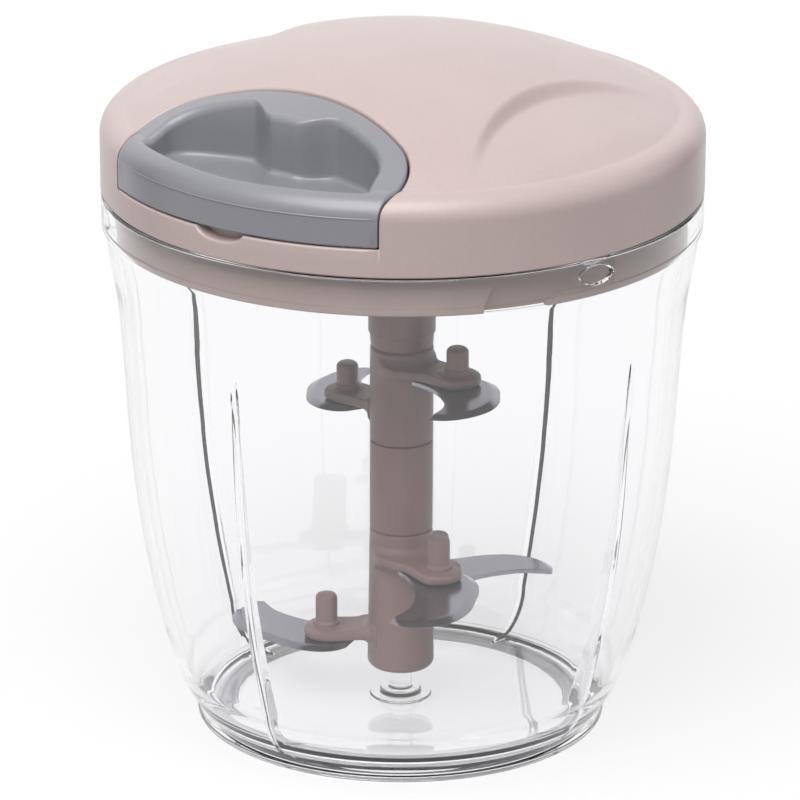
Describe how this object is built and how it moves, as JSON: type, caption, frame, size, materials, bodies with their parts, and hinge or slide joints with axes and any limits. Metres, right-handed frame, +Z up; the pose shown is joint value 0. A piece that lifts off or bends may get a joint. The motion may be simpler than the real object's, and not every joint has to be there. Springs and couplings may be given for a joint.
{
  "type": "food chopper",
  "caption": "Pull-cord food chopper: clear tapered bowl, sculpted lid with a loop handle flush in its edge, and a hanging stem with swept steel blades.",
  "frame": {"origin": "middle of the face that the chopper stands on", "axes": "+Z up along the stem; the pull handle points to -Y"},
  "size_m": [0.124, 0.124, 0.147],
  "materials": {
    "bowl": "clear, polished",
    "foot_ring": "matte",
    "lid": "fine satin, dusty pink",
    "seal": "satin silicone",
    "screws": "zinc plated",
    "steel": "turned",
    "cord": "braided",
    "handle": "satin",
    "reel": "moulded nylon",
    "spring": "rolled spring steel",
    "stem": "satin, mauve brown",
    "blade": "polished stainless steel"
  },
  "bodies": {
    "base": {"bowl": "bowl", "antislip_ring": "foot_ring"},
    "lid": {"lid_cover": "lid", "lid_base": "lid", "lid_seal": "seal", "cover_screw_1": "screws", "cover_screw_2": "screws", "cover_screw_3": "screws", "cover_screw_4": "screws", "reel_axle": "steel", "cord_eyelet": "steel", "cord_lead": "cord"},
    "handle": {"pull_handle": "handle", "cord_knot": "cord"},
    "reel": {"cord_reel": "reel", "cord_winding": "cord", "return_spring": "spring", "spring_cover": "reel", "pawl_pin_1": "steel", "pawl_pin_2": "steel"},
    "pawl_a": {"pawl_1": "spring"},
    "pawl_b": {"pawl_2": "spring"},
    "rotor": {"drive_socket": "stem", "socket_clip": "spring", "stem_core": "stem", "upper_hub": "stem", "stem_spacer": "stem", "lower_hub": "stem", "upper_blade_1": "blade", "upper_blade_2": "blade", "lower_blade_1": "blade", "lower_blade_2": "blade", "lower_blade_3": "blade", "upper_blade_peg_1": "stem", "upper_blade_peg_2": "stem", "lower_blade_peg_1": "stem", "lower_blade_peg_2": "stem", "lower_blade_peg_3": "stem"}
  },
  "joints": [
    {"name": "lid_turn", "type": "hinge", "parent": "base", "child": "lid", "pos_m": [0, 0, 0.112], "axis": [0, 0, 1], "range_deg": [0, 17.5]},
    {"name": "handle_pull", "type": "slide", "parent": "lid", "child": "handle", "axis": [0, -1, 0], "range_m": [0, 0.45], "stiffness_N_per_m": 8, "springref_m": -0.25, "deforming": ["cord_lead"]},
    {"name": "reel_turn", "type": "hinge", "parent": "lid", "child": "reel", "pos_m": [0, 0, 0.13], "axis": [0, 0, 1], "range_deg": [0, 1260]},
    {"name": "stem_turn", "type": "hinge", "parent": "lid", "child": "rotor", "pos_m": [0, 0, 0.09], "axis": [0, 0, 1], "range_deg": [0, 1260]},
    {"name": "pawl_a_swing", "type": "hinge", "parent": "reel", "child": "pawl_a", "pos_m": [0.0149, 0, 0.1204], "axis": [0, 0, -1], "range_deg": [0, 9]},
    {"name": "pawl_b_swing", "type": "hinge", "parent": "reel", "child": "pawl_b", "pos_m": [-0.0149, 0, 0.1204], "axis": [0, 0, -1], "range_deg": [0, 9]}
  ],
  "couplings": [
    {"joint": "reel_turn", "follows": "handle_pull", "rad_per_m": 48.544},
    {"joint": "stem_turn", "follows": "handle_pull", "rad_per_m": 48.544},
    {"joint": "pawl_b_swing", "follows": "pawl_a_swing", "ratio": 1}
  ]
}
